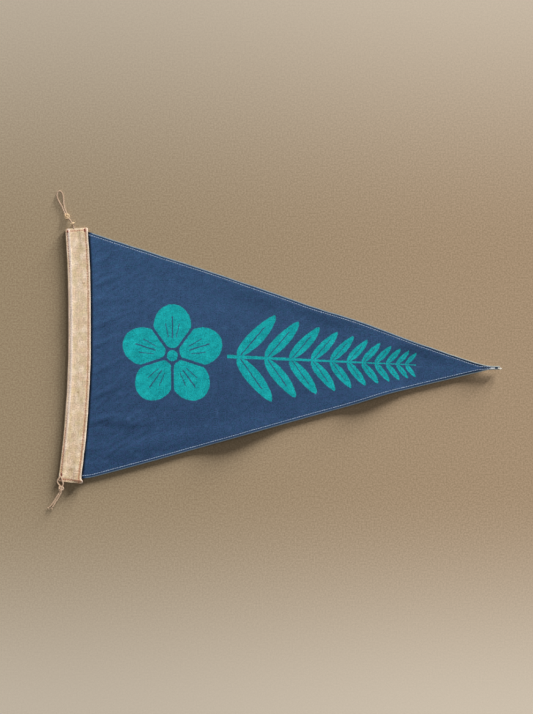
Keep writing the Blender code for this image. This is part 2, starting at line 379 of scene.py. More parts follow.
def printShape(tree, wobble):
    # a five-petalled flower and a frond of leaf pairs that shrink towards the tip; 1 where there is ink
    p = printDesign
    x, y, _ = objectPlace(tree, (p["flowerX"], p["flowerY"]))
    x, y = x + wobble[0], y + wobble[1]
    reach = (x * x + y * y).sum("SQRT")
    half = math.pi / p["petals"]
    sector = ((y.sum("ARCTAN2", x) / (2 * half) + 20.25).sum("FRACT") - 0.5).size() * (2 * half)
    along, across = reach * sector.sum("COSINE"), reach * sector.sum("SINE")
    oval = (along - p["petalMiddle"]) / p["petalLong"]
    oval = oval * oval + (across / p["petalWide"]) * (across / p["petalWide"])
    inOval = (oval.sum("SQRT") * -1.0 + 1.0) * p["petalWide"]
    inSector = reach * (sector * -1.0 + half).sum("SINE") - p["petalGap"]
    petal = inOval.sum("SMOOTH_MIN", inSector, 3.0)
    midVein = (across - 0.2).most((along - 47.0).size() - 17.0) - 0.75
    sideVein = ((reach * (sector - 0.21).sum("SINE")).size()).most((along - 42.0).size() - 11.0) - 0.65
    petal = petal.least(midVein).least(sideVein)
    heart = reach * -1.0 + p["throat"]
    flower = petal.most(heart)

    d, w, _ = objectPlace(tree, p["frondEnd"], p["frondTurn"] + 180.0)
    d, w = (d + wobble[0]).most(1.0), (w + wobble[1]).size()
    lean = math.radians(p["leafAngle"])
    root = d + w / math.tan(lean)
    step = root.sum("LOGARITHM", p["leafStep"])
    nearest = step.sum("ROUND")
    base = nearest.sum("MULTIPLY", math.log(p["leafStep"])).sum("EXPONENT")
    fromRib = ((root - base) * math.sin(lean)).size()
    along = (w / math.sin(lean)) / (base * p["leafLength"])
    t = along.least(0.999).most(0.001)
    swell = (t * (t * -1.0 + 1.0) * 4.0).sum("POWER", 0.62) * t.scale(1.12, 0.8)
    leaf = base * p["leafWidth"] * swell - fromRib
    rib = fromRib - base * 0.0024
    leaf = leaf.least(rib.most((t - 0.72) * 40.0)).least((along * -1.0 + 1.0) * 30.0)
    leaf = leaf.least(base * -1.0 + p["frondFrom"]).least(base - p["frondTo"])
    stem = (d * 0.007) - w
    stem = stem.least(d * -1.0 + (p["frondFrom"] + 6.0)).least(d - (p["frondTo"] - 12.0))
    frond = leaf.most(stem)
    return flower.most(frond).soften(-p["edge"], p["edge"])


def makeNavyCanvas(name, printed):
    n = navyCanvas
    material, tree, shader = newMaterial(name, sheen=0.0)
    x, y, _ = objectPlace(tree)
    weave, warp, weft = canvasThreads(tree, n)
    cloudy = noiseOver(tree, x / 60.0, y / 60.0, 4.0, 5.0)
    blotches = noiseOver(tree, x / 14.0, y / 14.0, 3.0, 9.0)
    hue = noiseOver(tree, x / 6.0, y / 6.0, 3.0, 31.0)
    mottle = noiseOver(tree, x / 5.2, y / 5.2, 2.0, 43.0)
    grain = noiseOver(tree, x / 1.9, y / 1.9, 1.0, 13.0)
    colour = mixColours(tree, (y + cloudy * 160.0).soften(-190.0, 250.0), n["dark"], n["light"])
    colour = mixColours(tree, blotches.soften(0.56, 0.80) * 0.5, colour, n["faded"])
    hueColour = mixColours(tree, hue.soften(0.36, 0.64), n["violet"], n["green"])
    colour = mixColours(tree, cloudy.scale(0.08, 0.36), colour, hueColour)
    shade = warp.swing(0.14) + weft.swing(0.14) + blotches.scale(0.86, 1.14)
    shade = shade + grain.swing(n["grain"]) + mottle.swing(n["mottle"])
    # painted crease shading, partly crease wear, slants up from the heading and fades towards the tip
    slantX, slantY, _ = objectPlace(tree, (0, 0), n["creaseAngle"])
    creaseShadeAndWear = noiseOver(tree, slantX / 26.0, slantY / 6.0, 2.0, 53.0)
    shade = shade + creaseShadeAndWear.swing(n["creaseShadeAndWear"]) * x.fade(-300.0, -60.0).scale(0.35, 1.0)
    if printed:
        wobble = [noiseOver(tree, x / 5.0, y / 5.0, 3.0, seed).swing(1.3) for seed in (11.0, 17.0)]
        bare = (noiseOver(tree, x / 1.1, y / 1.1, 2.0, 23.0) + weave * -0.16).soften(0.17, 0.29)
        ink = printShape(tree, wobble) * bare.scale(0.75, 1.0)
        inkColour = mixColours(tree, blotches.soften(0.35, 0.7), printDesign["inkDark"], printDesign["ink"])
        colour = mixColours(tree, ink, colour, inkColour)
        inset = readAttribute(tree, "edgeInset") + (blotches - 0.5) * 1.2
        beside = readAttribute(tree, "fromHeading") + (cloudy - 0.5) * 2.0
        above = (y + x * 0.05).soften(-30.0, 10.0)
        tail = x.soften(*n["tail"])
        # painted shade on the turned hem band outside the stitches, deeper along the upper edge; the hems
        # also darken towards the tip
        hemShade = above.scale(n["hemShadeDepth"][1], n["hemShadeDepth"][0]) * tail.scale(1.0, n["tailDark"])
        shade = shade * (inset.soften(3.6, 6.4) * hemShade.rest() + hemShade)
        # painted shade in the gap where the field runs out from under the heading
        shade = shade * beside.soften(1.6, 5.4).scale(n["seamShadeDepth"], 1.0)
    colour = shadeColour(tree, colour, shade)
    if printed:
        # the outer fold: worn bare threads with a painted highlight along them
        rim = inset.fade(0.5, 2.2) * beside.soften(4.0, 9.0) * blotches.soften(0.2, 0.55).scale(0.45, 1.0)
        colour = mixColours(tree, rim, colour, n["rim"])
        colour = mixColours(tree, inset.fade(0.2, 1.5) * tail, colour, n["tailRim"])
    relief = weave + (warp + weft) * 0.8
    finishMaterial(tree, shader, colour, blotches.scale(0.78, 0.95), relief, n["threadDepth"])
    return material


paleCloth = {
    "pale": linear(232, 212, 188),
    "warm": linear(214, 186, 158),
    "foot": linear(207, 178, 148),
    "yellow": linear(200, 180, 138),
    "stain": linear(150, 116, 86),
    "rust": linear(182, 128, 100),
    # the painted highlight's colour on the free edge and the ridge
    "rim": linear(244, 226, 212),
    "shadedFoldSide": linear(190, 166, 158),  # painted shade on the fold's side away from the light
    "threadPitch": 0.85,
    "threadDepth": 0.2,
    "streaks": (30.0, 1.6),
    "bend": (8.0, 0.8),
    "spots": [(-343.5, -188.0, 3.2), (-338.0, -176.0, 1.8), (-331.5, -60.0, 2.2), (-322.0, 120.0, 2.0)],
}


def makePaleCanvas(name):
    n = paleCloth
    material, tree, shader = newMaterial(name, sheen=0.05)
    x, y, _ = objectPlace(tree)
    across, end = readAttribute(tree, "across"), readAttribute(tree, "end")
    weave, warp, weft = canvasThreads(tree, n)
    blotches = noiseOver(tree, x / 12.0, y / 16.0, 4.0, 4.0)
    yellow = noiseOver(tree, x / 9.0, y / 13.0, 3.0, 14.0)
    clouds = noiseOver(tree, x / 7.0, y / 26.0, 2.0, 24.0)
    flecks = noiseOver(tree, x / 2.2, y / 2.2, 1.0, 8.0)
    colour = mixColours(tree, (y + blotches * 240.0).soften(-150.0, 230.0), n["foot"], n["warm"])
    colour = mixColours(tree, (blotches + flecks * 0.35).soften(0.55, 0.86) * 0.9, colour, n["pale"])
    colour = mixColours(tree, (yellow + flecks * 0.3).soften(0.54, 0.80) * 0.62, colour, n["yellow"])
    # rust and dirt gather along the stitching, most of all towards the foot
    worn = (y - 20.0).size().fade(80.0, 150.0)
    leftRow = (across - heading["leftStitch"]).size() + worn * 2.6
    rightRow = (across - heading["rightStitch"]).size()
    endRow = (end - heading["endStitch"]).size()
    nearRows = rightRow.least(leftRow).least(endRow)
    dirt = (nearRows + flecks * 3.0).fade(1.2, 4.2) * (y * -1.0).soften(60.0, 180.0).scale(0.60, 0.85)
    colour = mixColours(tree, dirt, colour, n["rust"])
    # painted highlight on the free edge, and on the ridge beside the fold, which is partly rubbed pale
    rim = (across * -1.0 + heading["width"]).fade(0.3, 2.2)
    ridge = (across - 5.4).size().fade(0.9, 3.4) * (y + blotches * 60.0).soften(-190.0, -20.0)
    colour = mixColours(tree, (rim * 0.70).most(ridge * 0.80), colour, n["rim"])
    # painted shade on the fold's side away from the light, strongest along the middle of the heading
    colour = mixColours(tree, across.fade(1.0, 2.6) * worn * 0.5, colour, n["shadedFoldSide"])
    for spotX, spotY, spotSize in n["spots"]:
        dx, dy = x - spotX, y - spotY
        reach = (dx * dx + dy * dy).sum("SQRT") + flecks * 2.6
        colour = mixColours(tree, reach.fade(spotSize, spotSize + 2.6) * 0.5, colour, n["stain"])
    shade = warp.swing(0.10) + weft.swing(0.10) + flecks.scale(0.62, 1.38) + clouds.swing(0.22)
    colour = shadeColour(tree, colour, shade)
    relief = weave + (warp + weft) * 1.1
    finishMaterial(tree, shader, colour, blotches.scale(0.80, 0.98), relief, n["threadDepth"])
    return material


def makeThread(name, light, dark):
    # spun thread: short fibres across each stitch
    material, tree, shader = newMaterial(name, sheen=0.2)
    x, y, z = objectPlace(tree)
    fibres = noiseOver(tree, x / 0.35, y / 0.35, 2.0, 0.0, z / 0.35)
    worn = noiseOver(tree, x / 7.0, y / 7.0, 2.0, 4.0)
    colour = mixColours(tree, (fibres + worn - 0.5).soften(0.3, 0.7), dark, light)
    finishMaterial(tree, shader, colour, worn.scale(0.6, 0.85), fibres, 0.08)
    return material


def makeTwine(name, light, dark, dirt):
    # twisted twine: painted shade between the plies, with fine fibres along them
    material, tree, shader = newMaterial(name, sheen=0.25)
    u, v = flatPlace(tree)
    x, y, z = objectPlace(tree)
    valley = readAttribute(tree, "valley")
    fibres = noiseOver(tree, u / 0.25, v / 3.0, 3.0, 2.0)
    worn = noiseOver(tree, x / 6.0, y / 6.0, 3.0, 6.0, z / 6.0)
    colour = mixColours(tree, (fibres + (worn - 0.5) * 0.8).soften(0.25, 0.75), dark, light)
    # painted shade in the valleys between the plies, and dirt on worn patches, both in the dirt colour
    colour = mixColours(tree, (valley * 0.75).most(worn.soften(0.62, 0.8) * 0.5), colour, dirt)
    finishMaterial(tree, shader, colour, fibres.scale(0.75, 0.95), fibres, 0.12)
    return material


navyFace = makeNavyCanvas("navyCanvasFace", printed=True)
navyBack = makeNavyCanvas("navyCanvasBack", printed=False)
paleCanvas = makePaleCanvas("paleCanvas")
hemThread = makeThread("hemThread", linear(176, 194, 216), linear(128, 148, 178))
rustThread = makeThread("rustThread", linear(180, 118, 90), linear(134, 78, 56))
fadedThread = makeThread("fadedThread", linear(214, 188, 168), linear(184, 154, 134))
tackThread = makeThread("tackThread", linear(150, 78, 56), linear(104, 48, 38))
whiteThread = makeThread("whiteThread", linear(240, 240, 238), linear(205, 208, 212))
creamThread = makeThread("creamThread", linear(248, 244, 232), linear(220, 214, 200))
topTwineFinish = makeTwine("topTwine", linear(208, 182, 156), linear(176, 148, 122), linear(136, 106, 82))
knotTwineFinish = makeTwine("knotTwine", linear(244, 218, 176), linear(212, 180, 138), linear(150, 116, 82))
lowTwineFinish = makeTwine("lowTwine", linear(214, 188, 160), linear(182, 152, 122), linear(134, 100, 76))
print("finishes: canvas, print, thread and twine")


field = {
    "thickness": 1.1,
    "layerGap": 0.3,
    "hem": 8.0,
    "hemFade": 40.0,
    "tailSlit": 0.6,
    "seam": 10.0,
    "seamFade": 20.0,
    "foldFloor": 0.5,
    "foldSoftness": 0.8,
    "upperStitch": 4.7,  # how far inside the edge each row of stitches runs
    "lowerStitch": 4.9,
    "stitchDip": 0.22,
    "wrinkles": 0.36,
    "firstColumns": [0, 3, 6, 8, 9, 9.7, 10.3, 11, 11.8, 12.7, 13.8, 15, 16.5, 18.2, 20],  # from the hoist
    "edgeRows": [2.0, 3.0, 4.0, 4.8, 5.6, 6.4, 7.4, 9.0, 11.5, 15.0],  # from the edge
    "columns": 214,
    "rows": 132,
}

layerStep = field["thickness"] + field["layerGap"]

# x, upper edge, lower edge
outline = [
    (-342.0, 205.4, -204.0),
    (-316.0, 204.6, -202.2),
    (-300.0, 199.7, -198.8),
    (-200.0, 167.1, -171.8),
    (-120.0, 141.4, -149.2),
    (0.0, 100.5, -115.3),
    (60.0, 79.6, -98.6),
    (125.0, 59.6, -80.5),
    (175.0, 41.4, -64.9),
    (225.0, 22.6, -52.6),
    (300.0, -3.1, -34.6),
    (330.0, -12.9, -27.6),
    (347.0, -16.5, -23.5),
    (364.7, -17.0, -23.0),
]

# the heading's middle line: y, x
headingLine = [
    (-212.0, -346.4),
    (-120.0, -336.4),
    (-30.0, -330.6),
    (60.0, -329.5),
    (150.0, -330.9),
    (212.0, -334.7),
]

# soft folds: x, y, angle, length, width, height
folds = [
    (-150, 30, 62, 120, 42, 3.2),
    (-213, -146, 12, 95, 15, 3.4),
    (-256, -108, -4, 48, 12, 2.6),
    (-232, -128, 16, 60, 9, -1.6),
    (-224, 92, 88, 50, 9, 1.6),
    (-60, -128, 15, 62, 20, 5.0),
    (158, -66, 15, 52, 15, 4.4),
    (-30, 104, -18, 58, 20, 3.8),
    (84, 70, -18, 46, 17, 4.2),
    (240, 14, -18, 56, 14, 3.6),
    (38, -40, 38, 70, 24, 3.0),
    (170, 6, 20, 60, 16, 2.2),
    (358, -20, 10, 46, 30, 3.6),
]

# small puckers that start at the heading's seam and at the hems, in the same order
puckers = [
    (-294, 158.0, 30, 26, 5.0, 2.2),
    (-288, 122.0, 24, 24, 4.5, 1.8),
    (-294, 91.0, 22, 20, 4.5, 1.5),
    (-288, 56.0, 28, 26, 5.0, 2.0),
    (-294, 20.0, 22, 24, 4.5, 1.7),
    (-288, -20.0, 30, 28, 5.0, 2.1),
    (-294, -62.0, 22, 22, 4.5, 1.5),
    (-290, -104.0, 18, 28, 5.0, 1.8),
    (-298, -152.0, 12, 24, 4.5, 1.4),
    (-250, 150.0, 40, 30, 7.0, 1.2),
    (-240, 8.0, 34, 30, 7.0, 1.0),
    (-262, -44.0, 30, 30, 7.0, 1.2),
    (-178, 132, -60, 20, 6.0, -0.6),
    (-84, 112, -55, 16, 5.0, -0.5),
    (18, 78, -58, 15, 5.0, -0.5),
    (112, 52, -52, 13, 4.5, -0.4),
    (-150, -140, 58, 18, 5.5, -0.6),
    (-12, -100, 55, 17, 5.0, -0.5),
    (92, -76, 60, 14, 4.5, -0.5),
    (-118, -38, 24, 60, 5.0, 0.35),
    (-64, 44, -38, 48, 5.0, 0.3),
    (120, -22, 12, 42, 4.5, 0.3),
]


def upperEdge(x):
    return readSmoothly(x, [row[0] for row in outline], [row[1] for row in outline])


def lowerEdge(x):
    return readSmoothly(x, [row[0] for row in outline], [row[2] for row in outline])


def sumFolds(x, y, rows):
    total = np.zeros(np.broadcast(x, y).shape)
    for foldX, foldY, angle, length, width, height in rows:
        turn = math.radians(angle)
        east, north = x - foldX, y - foldY
        along = (east * math.cos(turn) + north * math.sin(turn)) / length
        across = (north * math.cos(turn) - east * math.sin(turn)) / width
        total = total + height * np.exp(-along * along - across * across)
    return total


def headingMiddle(y):
    return readSmoothly(y, [row[0] for row in headingLine], [row[1] for row in headingLine])


def headingEdge(y):
    return headingMiddle(y) + heading["width"] / 2


def clothHeight(x, y):
    # the height of the middle of the field's cloth
    f = field
    inset = np.minimum(upperEdge(x) - y, y - lowerEdge(x))
    overHem = 1 - smoothRise((inset - f["hem"]) / f["hemFade"])
    inHeading = 1 - smoothRise((x - headingEdge(y)) / f["seamFade"])
    lift = sumFolds(x, y, folds) - f["foldFloor"]
    soft = f["foldSoftness"]
    lift = np.where(lift < soft, np.maximum(lift, 0) ** 2 / (2 * soft), lift - soft / 2)
    return f["thickness"] / 2 + layerStep * (overHem + inHeading) + lift * (1 - inHeading)


def stitchInset(x, row):
    halfWidth = (upperEdge(x) - lowerEdge(x)) / 2
    return np.minimum(field[row], 0.62 * halfWidth)


def faceDetail(x, y):
    # what sewing and wear add to the face: dips along the stitches, ripples in the hem, puckers, wrinkles
    f = field
    upper, lower = upperEdge(x) - y, y - lowerEdge(x)
    inset = np.minimum(upper, lower)
    row = np.where(upper < lower, stitchInset(x, "upperStitch"), stitchInset(x, "lowerStitch"))
    dip = -f["stitchDip"] * hill(inset - row, 1.1)
    phase = x / 10.5 + 1.2 * softNoise(x, y * 0, 24.0, 5)
    ripple = 0.17 * np.sin(2 * math.pi * phase) * hill(inset - 1.5, 5.0)
    step = 0.16 * (1 - smoothRise((inset - 7.4) / 2.4))
    openCloth = smoothRise((inset - 2) / 9) * smoothRise((x - headingEdge(y)) / 6)
    wrinkles = 0.6 * softNoise(x * 0.8 + y * 0.3, y, 26.0, 7) + 0.4 * softNoise(x, y, 11.0, 8)
    small = sumFolds(x, y, puckers) + f["wrinkles"] * wrinkles
    return dip + ripple + step + small * openCloth


def columnPlaces(length):
    # closer columns beside the heading, where its shadow and the puckers lie, and a little closer at the tip
    start = field["firstColumns"]
    share = np.linspace(0, 1, field["columns"])
    share = share - 0.13 / math.pi * np.sin(2 * math.pi * share)
    return np.concatenate([start, start[-1] + (length - start[-1]) * share[1:]]) / length


def makeField():
    f = field
    radius = layerStep / 2
    foldMiddle = f["thickness"] / 2 + radius
    hoist = headingEdge(0.0) - f["seam"]
    tip = outline[-1][0] - f["thickness"] / 2
    share = columnPlaces(tip - hoist)[None, :]

    def hemRows(halfWidth):
        # from the inner edge on the back, round the fold, to the face: inset, drop, flat inset
        inner = np.minimum(f["hem"], halfWidth - f["tailSlit"] / 2)
        rows = []
        for part in (1, 0.75, 0.5, 0.25):
            inset = foldMiddle + (inner - foldMiddle) * part
            rows.append((inset, layerStep, foldMiddle - math.pi * radius - (inset - foldMiddle)))
        for turn in np.linspace(math.pi, 0, 7):
            same = halfWidth * 0
            rows.append((
                same + foldMiddle - radius * math.sin(turn),
                radius - radius * math.cos(turn),
                same + foldMiddle - radius * turn,
            ))
        squeeze = np.minimum(1, (0.62 * halfWidth - foldMiddle) / (f["edgeRows"][-1] - foldMiddle))
        for edge in f["edgeRows"]:
            inset = foldMiddle + (edge - foldMiddle) * squeeze
            rows.append((inset, 0.0, inset))
        return rows

    def place(x):
        upper, lower = upperEdge(x), lowerEdge(x)
        rows = hemRows((upper - lower)[0] / 2)
        lowY = [lower[0] + inset for inset, _, _ in rows]
        highY = [upper[0] - inset for inset, _, _ in reversed(rows)]
        lowFlat = [lower[0] + flat for _, _, flat in rows]
        highFlat = [upper[0] - flat for _, _, flat in reversed(rows)]
        drops = [drop for _, drop, _ in rows]
        between = np.linspace(0, 1, f["rows"] + 2)[1:-1, None]
        middleY = lowY[-1] + (highY[0] - lowY[-1]) * between
        y = np.vstack([lowY, middleY, highY])
        flat = np.vstack([lowFlat, middleY, highFlat])
        drop = np.concatenate([drops, np.zeros(f["rows"]), drops[::-1]])[:, None]
        return y, flat, drop

    straight = hoist + (tip - hoist) * share
    y, flat, drop = place(straight)
    bow = (headingMiddle(y) - headingMiddle(0.0)) * (1 - share) ** 3
    x = straight + bow
    # the edges belong to the bent columns, so each row keeps its place between them
    upper, lower = upperEdge(x), lowerEdge(x)
    oldUpper, oldLower = upperEdge(straight), lowerEdge(straight)
    edgeReach = 30.0
    nearUpper, nearLower = hill(oldUpper - y, edgeReach), hill(y - oldLower, edgeReach)
    y = y + (upper - oldUpper) * nearUpper + (lower - oldLower) * nearLower
    wander = 0.35 * softNoise(x, y * 0, 17.0, 3) * smoothRise((x - headingEdge(y)) / 8)
    face = 1 - np.clip(drop / layerStep, 0, 1)
    z = clothHeight(x, y) - drop + faceDetail(x, y) * (0.15 + 0.85 * face)
    z = np.maximum(z, f["thickness"] / 2)
    points = np.stack([x, y + wander * np.sign(y) * nearUpper.clip(0, 1), z], axis=-1)
    inset = np.minimum(oldUpper - flat, flat - oldLower)
    mesh = gridMesh(
        "fieldCloth",
        points,
        np.stack([x, flat], axis=-1),
        {"edgeInset": inset, "fromHeading": x - headingEdge(y)},
    )
    piece = addPiece("fieldCloth", mesh, navyFace, navyBack)
    thicken = piece.modifiers.new("thickness", "SOLIDIFY")
    thicken.thickness = f["thickness"] * mm
    thicken.offset = 0
    thicken.use_even_offset = True
    thicken.material_offset = 1
    thicken.material_offset_rim = 1
    return makePlain(piece)


fieldPiece = makeField()
print("field:", len(fieldPiece.data.polygons), "faces")


# one section, from the back's free edge round the fold to the front's: across from the fold, height
headingBack = [
    (37.3, 0.55),
    (27.0, 0.55),
    (14.0, 0.55),
    (4.0, 0.55),
    (1.7, 0.68),
    (0.8, 1.0),
    (0.55, 1.45),
    (0.8, 1.95),
]
headingFront = [
    (1.6, 2.35),
    (3.4, 2.5),
    (5.2, 3.45),
    (7.0, 3.75),
    (9.0, 3.45),
    (12.0, 3.05),
    (18.0, 3.15),
    (23.0, 3.3),
    (26.0, 3.4),
    (33.2, 3.4),
    (35.6, 3.5),
    (37.3, 3.45),
]


def makeHeading():
    h = heading
    section = np.array(headingBack + headingFront)
    along = np.concatenate([[0], np.cumsum(np.hypot(*np.diff(section, axis=0).T))])
    frontFrom = along[len(headingBack)]
    # closer points round the fold, along the ridge and at the free edge of the front
    fine = np.linspace(0, along[-1], 2000)
    between = (fine[1:] + fine[:-1]) / 2
    closeness = 1 + 3.5 * hill(between - frontFrom, 9.0) + 2.0 * hill(between - along[-1], 7.0)
    weight = np.concatenate([[0], np.cumsum(closeness)])
    s = np.interp(np.linspace(0, weight[-1], h["sectionPoints"]), weight, fine)
    across = readSmoothly(s, along, section[:, 0])[:, None]
    height = readSmoothly(s, along, section[:, 1])[:, None]
    front = (s > frontFrom)[:, None]

    length = h["head"] - h["foot"]
    ends = np.array([0.0, 0.25, 0.6, 1.0, 1.5, 2.1, 2.8, 3.4, 3.8, 4.2, 4.6, 5.0, 5.8, 7.0, 8.5])
    between = np.linspace(ends[-1], length - ends[-1], int((length - 2 * ends[-1]) / h["rowStep"]))[1:-1]
    station = np.concatenate([ends, between, length - ends[::-1]])[None, :]
    end = np.minimum(station, length - station)
    y = h["foot"] + station
    step = 1.0
    lean = (headingMiddle(y + step) - headingMiddle(y - step)) / (2 * step)
    corner = h["cornerRadius"]
    inset = np.where(end < corner, corner - np.sqrt(np.maximum(corner**2 - (corner - end) ** 2, 0)), 0.0)
    side = (across - h["width"] / 2) * (1 - 2 * inset / h["width"])
    # the free edge wanders, and the corner at the foot bulges
    edge = smoothRise((across - 30) / 7) * front
    side = side + edge * (0.35 * softNoise(y, y * 0, 13.0, 21) + 3.4 * hill(station - 3.4, 3.2))
    side = side - smoothRise((5 - across) / 5) * 0.3 * softNoise(y, y * 0, 19.0, 22)
    unit = np.sqrt(1 + lean**2)
    px = headingMiddle(y) + side / unit
    py = y - side * lean / unit
    overField = smoothRise((across - (h["width"] - field["seam"] - 5)) / 4)
    fieldTop = clothHeight(px, py) + field["thickness"] + h["seamGap"]
    z = height + np.maximum(0, fieldTop - height) * overField * front
    # stitches pull the front down, and the cloth puckers between them
    rows = hill(across - h["leftStitch"], 1.1) * 0.6 + hill(across - h["rightStitch"], 1.2)
    endRow = hill(end - h["endStitch"], 1.0) * smoothRise((across - 2) / 3)
    dips = -0.30 * np.maximum(rows, endRow)
    pucker = 0.20 * np.sin(2 * math.pi * (y / 8.6 + softNoise(y, y * 0, 31.0, 12)))
    pucker = pucker * (hill(across - 31.5, 4.5) + 0.8 * hill(across - 6.5, 3.0))
    lumps = 0.28 * softNoise(px, py, 15.0, 31) + 0.18 * softNoise(px, py, 6.0, 32)
    lumps = lumps * smoothRise((across - 3) / 3)
    ridge = 0.45 * hill(across - 7.2, 2.0) * smoothRise((y + 160) / 160)
    ridge = ridge * (1 + 0.5 * softNoise(y, y * 0, 40.0, 33))
    turned = 0.35 * hill(across - 36.0, 1.6)
    bulge = 0.9 * hill(station - 3.0, 3.5) * hill(across - 35.5, 3.5)
    detail = (dips + pucker + lumps + ridge + turned) * smoothRise(end / 3.0) + bulge
    z = z + detail * front
    sewn = field["thickness"] / 2 + layerStep
    pinched = sewn + (z - sewn) * smoothRise(end / h["endPinch"])
    z = np.where((z > sewn) & front, pinched + 0.18 * hill(end - 1.0, 1.6) + bulge * 0.8, z)
    points = np.stack([px, py, z], axis=-1)
    flat = np.stack(np.broadcast_arrays(s[:, None], y), axis=-1)
    shownAcross, shownEnd, _ = np.broadcast_arrays(np.where(front, across, -3.0), end, py)
    mesh = gridMesh("headingCloth", points, flat, {"across": shownAcross, "end": shownEnd})
    mesh.flip_normals()
    piece = addPiece("headingCloth", mesh, paleCanvas)
    thicken = piece.modifiers.new("thickness", "SOLIDIFY")
    thicken.thickness = field["thickness"] * mm
    thicken.offset = 0
    thicken.use_even_offset = True
    rounded = piece.modifiers.new("roundedEdges", "BEVEL")
    rounded.width = 0.4 * mm
    rounded.segments = 3
    rounded.limit_method = "ANGLE"
    rounded.angle_limit = math.radians(55)
    return makePlain(piece)


headingPiece = makeHeading()
print("heading:", len(headingPiece.data.polygons), "faces")


twine = {
    "diameter": 2.0,
    "fullness": 1.36,  # how far the loose fibres swell it
    "knotFullness": 1.55,
    "plies": 3,
    "twist": 6.5,  # length of one whole turn of a ply
    "sides": 24,
    "step": 0.6,
    "knotSize": 1.36,
    "knotSqueeze": 0.86,
    "knotStep": 0.5,
}

looseEnds = {
    "count": 8,
    "length": 3.0,
    "spread": 1.15,
    "radius": 0.42,
    "lowest": 0.45,
}

# routes through which each smooth twine runs
topRoute = [
    (-338.8, 209.0, 2.2),
    (-338.9, 211.4, 2.5),
    (-339.3, 214.0, 2.9),
    (-340.7, 218.0, 3.35),
    (-343.4, 222.0, 3.0),
    (-347.4, 226.8, 2.4),
    (-350.9, 231.2, 2.5),
    (-353.6, 234.7, 2.2),
    (-355.5, 238.9, 1.5),
    (-357.3, 243.3, 1.2),
    (-360.0, 248.8, 1.1),
    (-363.3, 254.4, 1.1),
    (-366.0, 260.4, 1.1),
    (-367.0, 265.8, 1.1),
    (-365.6, 270.2, 1.1),
    (-362.4, 271.9, 1.1),
    (-358.9, 269.8, 1.1),
    (-356.8, 264.5, 1.1),
    (-356.0, 257.7, 1.1),
    (-355.6, 251.1, 1.1),
    (-354.4, 244.4, 1.2),
    (-352.6, 239.4, 1.5),
    (-351.2, 235.6, 2.2),
    (-350.3, 232.6, 2.4),
]
outerRoute = [
    (-360.6, -197.2, 3.0),
    (-361.4, -199.6, 4.4),
    (-363.6, -202.6, 4.5),
    (-365.6, -205.6, 4.0),
    (-366.0, -208.6, 2.9),
    (-364.3, -211.6, 2.1),
    (-362.1, -214.6, 2.2),
    (-361.7, -219.4, 2.5),
    (-362.0, -224.4, 2.1),
    (-364.7, -228.8, 1.3),
    (-368.6, -235.2, 1.1),
    (-372.3, -241.0, 1.1),
    (-375.9, -246.2, 1.1),
    (-379.9, -250.5, 1.1),
]
innerRoute = [
    (-359.6, -199.0, 3.6),
    (-359.0, -201.6, 5.2),
    (-357.9, -205.0, 4.9),
    (-356.9, -208.4, 4.1),
    (-356.5, -211.6, 3.0),
    (-357.8, -215.2, 2.3),
    (-358.9, -219.6, 2.5),
    (-359.6, -224.6, 2.1),
    (-362.3, -230.2, 1.3),
    (-366.1, -236.8, 1.1),
    (-369.4, -241.4, 1.1),
    (-372.0, -246.0, 1.1),
    (-375.1, -251.1, 1.1),
]


def smoothPath(route, step, closed=False):
    # even steps along a smooth curve through the route
    points = [np.array(p, float) for p in route]
    if closed:
        padded = [points[-1]] + points + points[:2]
    else:
        padded = [2 * points[0] - points[1]] + points + [2 * points[-1] - points[-2]]
    t = np.linspace(0, 1, 24, endpoint=False)[:, None]
    fine = []
    for a, b, c, d in zip(padded, padded[1:], padded[2:], padded[3:]):
        cubic = (3 * b - a - 3 * c + d) * t**3
        fine.append(0.5 * (2 * b + (c - a) * t + (2 * a - 5 * b + 4 * c - d) * t**2 + cubic))
    fine = np.vstack(fine + [points[0 if closed else -1][None, :]])
    lengths = np.concatenate([[0], np.cumsum(np.linalg.norm(np.diff(fine, axis=0), axis=1))])
    count = max(6, int(round(lengths[-1] / step)))
    wanted = np.linspace(0, lengths[-1], count + 1)
    even = np.stack([np.interp(wanted, lengths, fine[:, axis]) for axis in range(3)], axis=-1)
    return even[:-1] if closed else even


